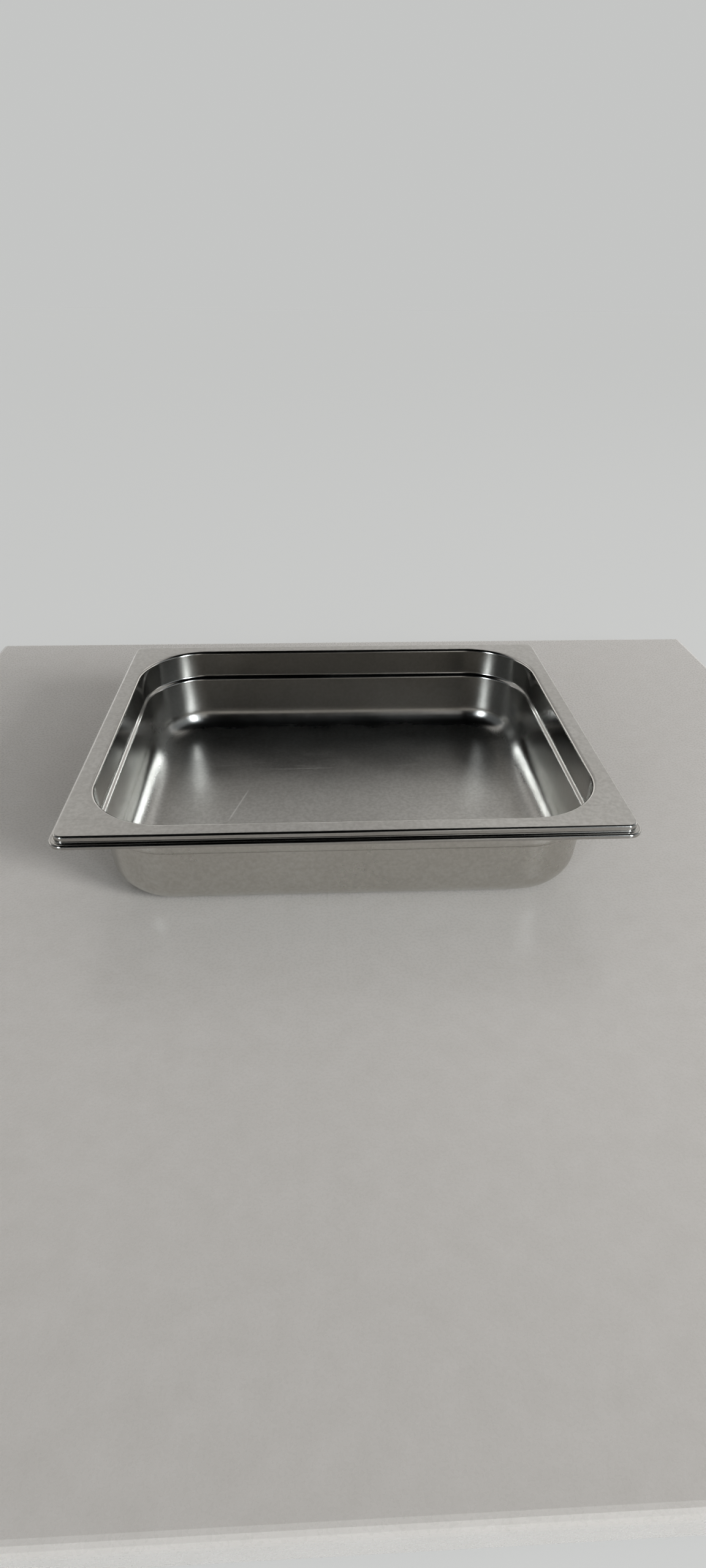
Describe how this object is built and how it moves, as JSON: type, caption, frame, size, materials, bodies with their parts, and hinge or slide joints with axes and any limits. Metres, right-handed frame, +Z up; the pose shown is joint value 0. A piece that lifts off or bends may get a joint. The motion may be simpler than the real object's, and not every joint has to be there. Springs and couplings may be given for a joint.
{
  "type": "gastronorm food container",
  "caption": "Shallow rectangular stainless steel food container with rounded corners, a stacking shoulder, a flat flange all round and a stepped, turned-down rim.",
  "frame": {"origin": "centre of the underside of the floor, on the surface that the container stands on", "axes": "+X along the long side, +Y across it, +Z up out of the mouth"},
  "size_m": [0.325, 0.265, 0.065],
  "materials": {
    "stainless_steel": "cold-rolled stainless steel, satin on the floor and flange, brighter where the walls were drawn, with fine handling scratches"
  },
  "bodies": {
    "root": {"pan": "stainless_steel"}
  },
  "joints": []
}
